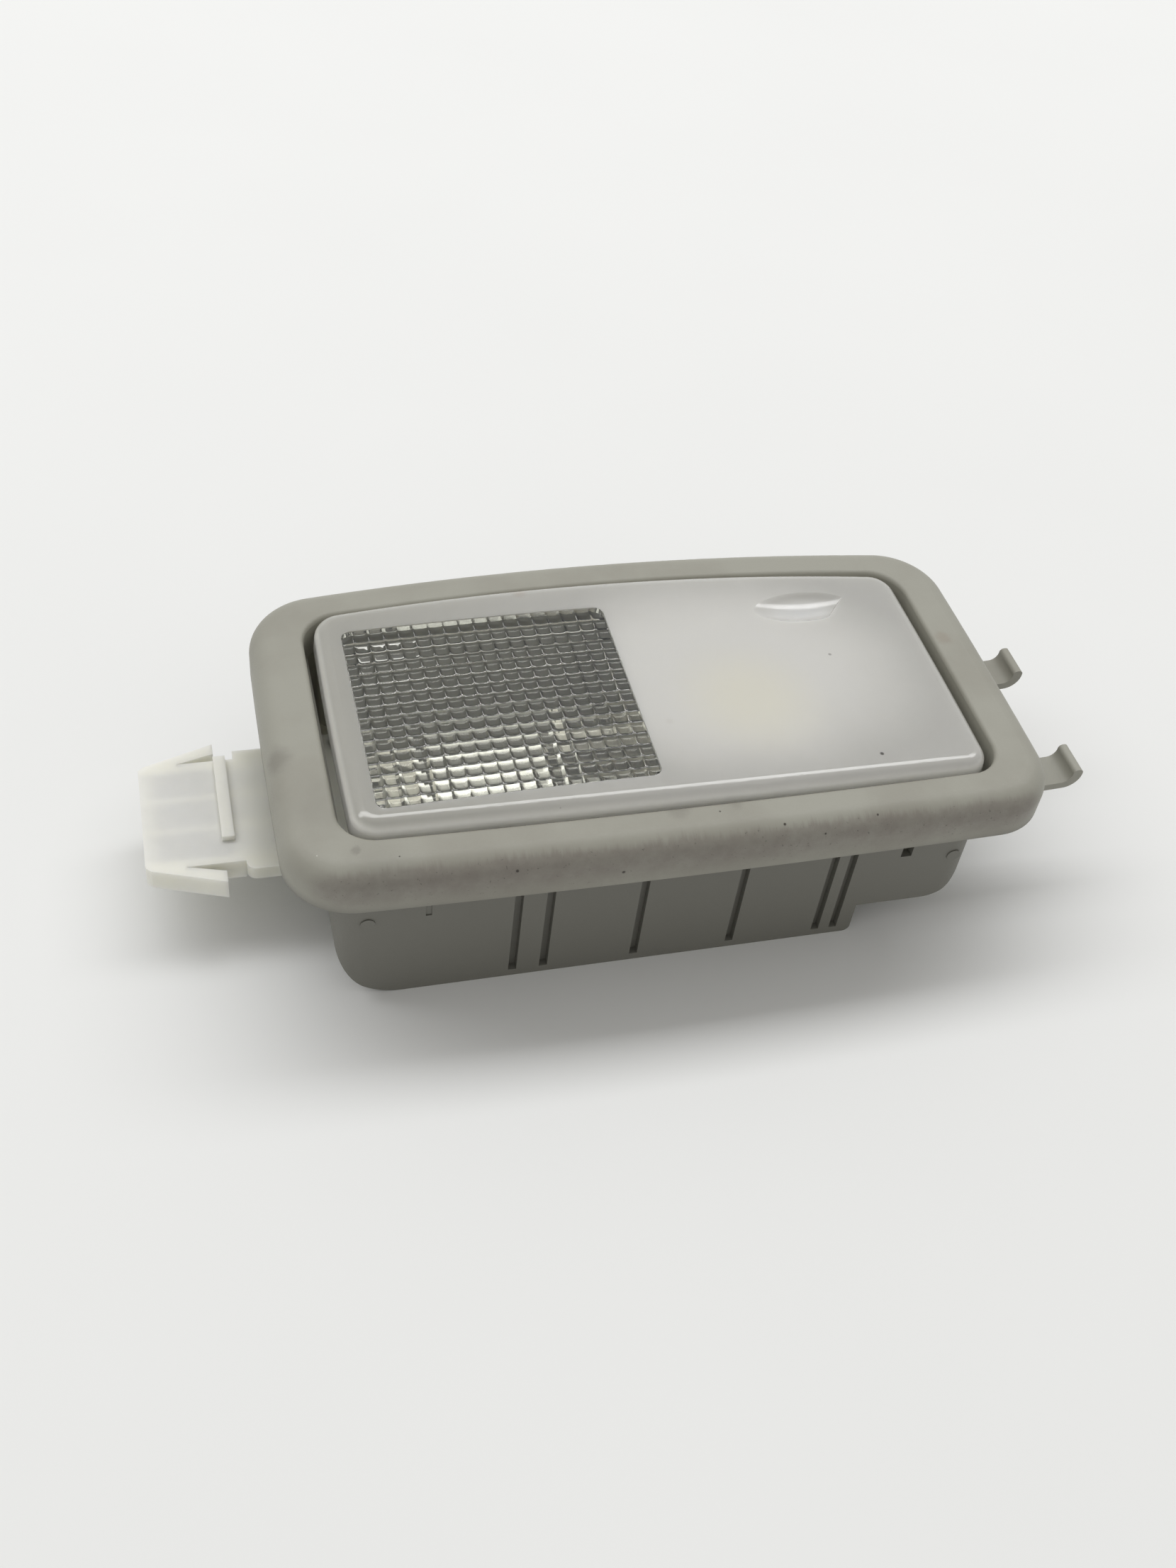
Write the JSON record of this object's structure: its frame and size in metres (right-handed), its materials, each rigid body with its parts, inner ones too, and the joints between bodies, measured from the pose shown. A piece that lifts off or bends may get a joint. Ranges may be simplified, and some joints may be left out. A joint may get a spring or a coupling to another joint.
{
  "type": "car dome light",
  "caption": "Car interior dome light: bowed grey plastic bezel and tub, rocking opal lens with a clear prism window, festoon bulb inside, end hooks and a snap-in nylon connector.",
  "frame": {"origin": "under the middle of the bezel, on the flat back face of the tub", "axes": "+X along the length towards the two hooks, +Y across, +Z out of the lens; the lamp lies on its back with the lens up"},
  "size_m": [0.1498, 0.066, 0.0329],
  "materials": {
    "grey_plastic": "fine satin grain, slightly soiled",
    "opal_plastic": "milky, polished",
    "clear_plastic": "clear plastic, prisms on the inner face",
    "bright_sheet": "bright",
    "bulb_glass": "clear",
    "bulb_metal": "plated",
    "contact_brass": "tinned, dull",
    "natural_nylon": "translucent, undyed"
  },
  "bodies": {
    "base": {"housing": "grey_plastic", "reflector": "bright_sheet", "bulb_glass": "bulb_glass", "bulb_cap_left": "bulb_metal", "bulb_cap_right": "bulb_metal", "contact_live": "contact_brass", "contact_common": "contact_brass", "contact_earth": "contact_brass", "contact_door": "contact_brass", "connector": "natural_nylon"},
    "lens": {"lens_opal": "opal_plastic", "lens_window": "clear_plastic"}
  },
  "joints": [
    {"name": "lens_rock", "type": "hinge", "parent": "base", "child": "lens", "pos_m": [0, 0, 0.02805], "axis": [0, 1, 0], "range_deg": [-3, 2]}
  ]
}
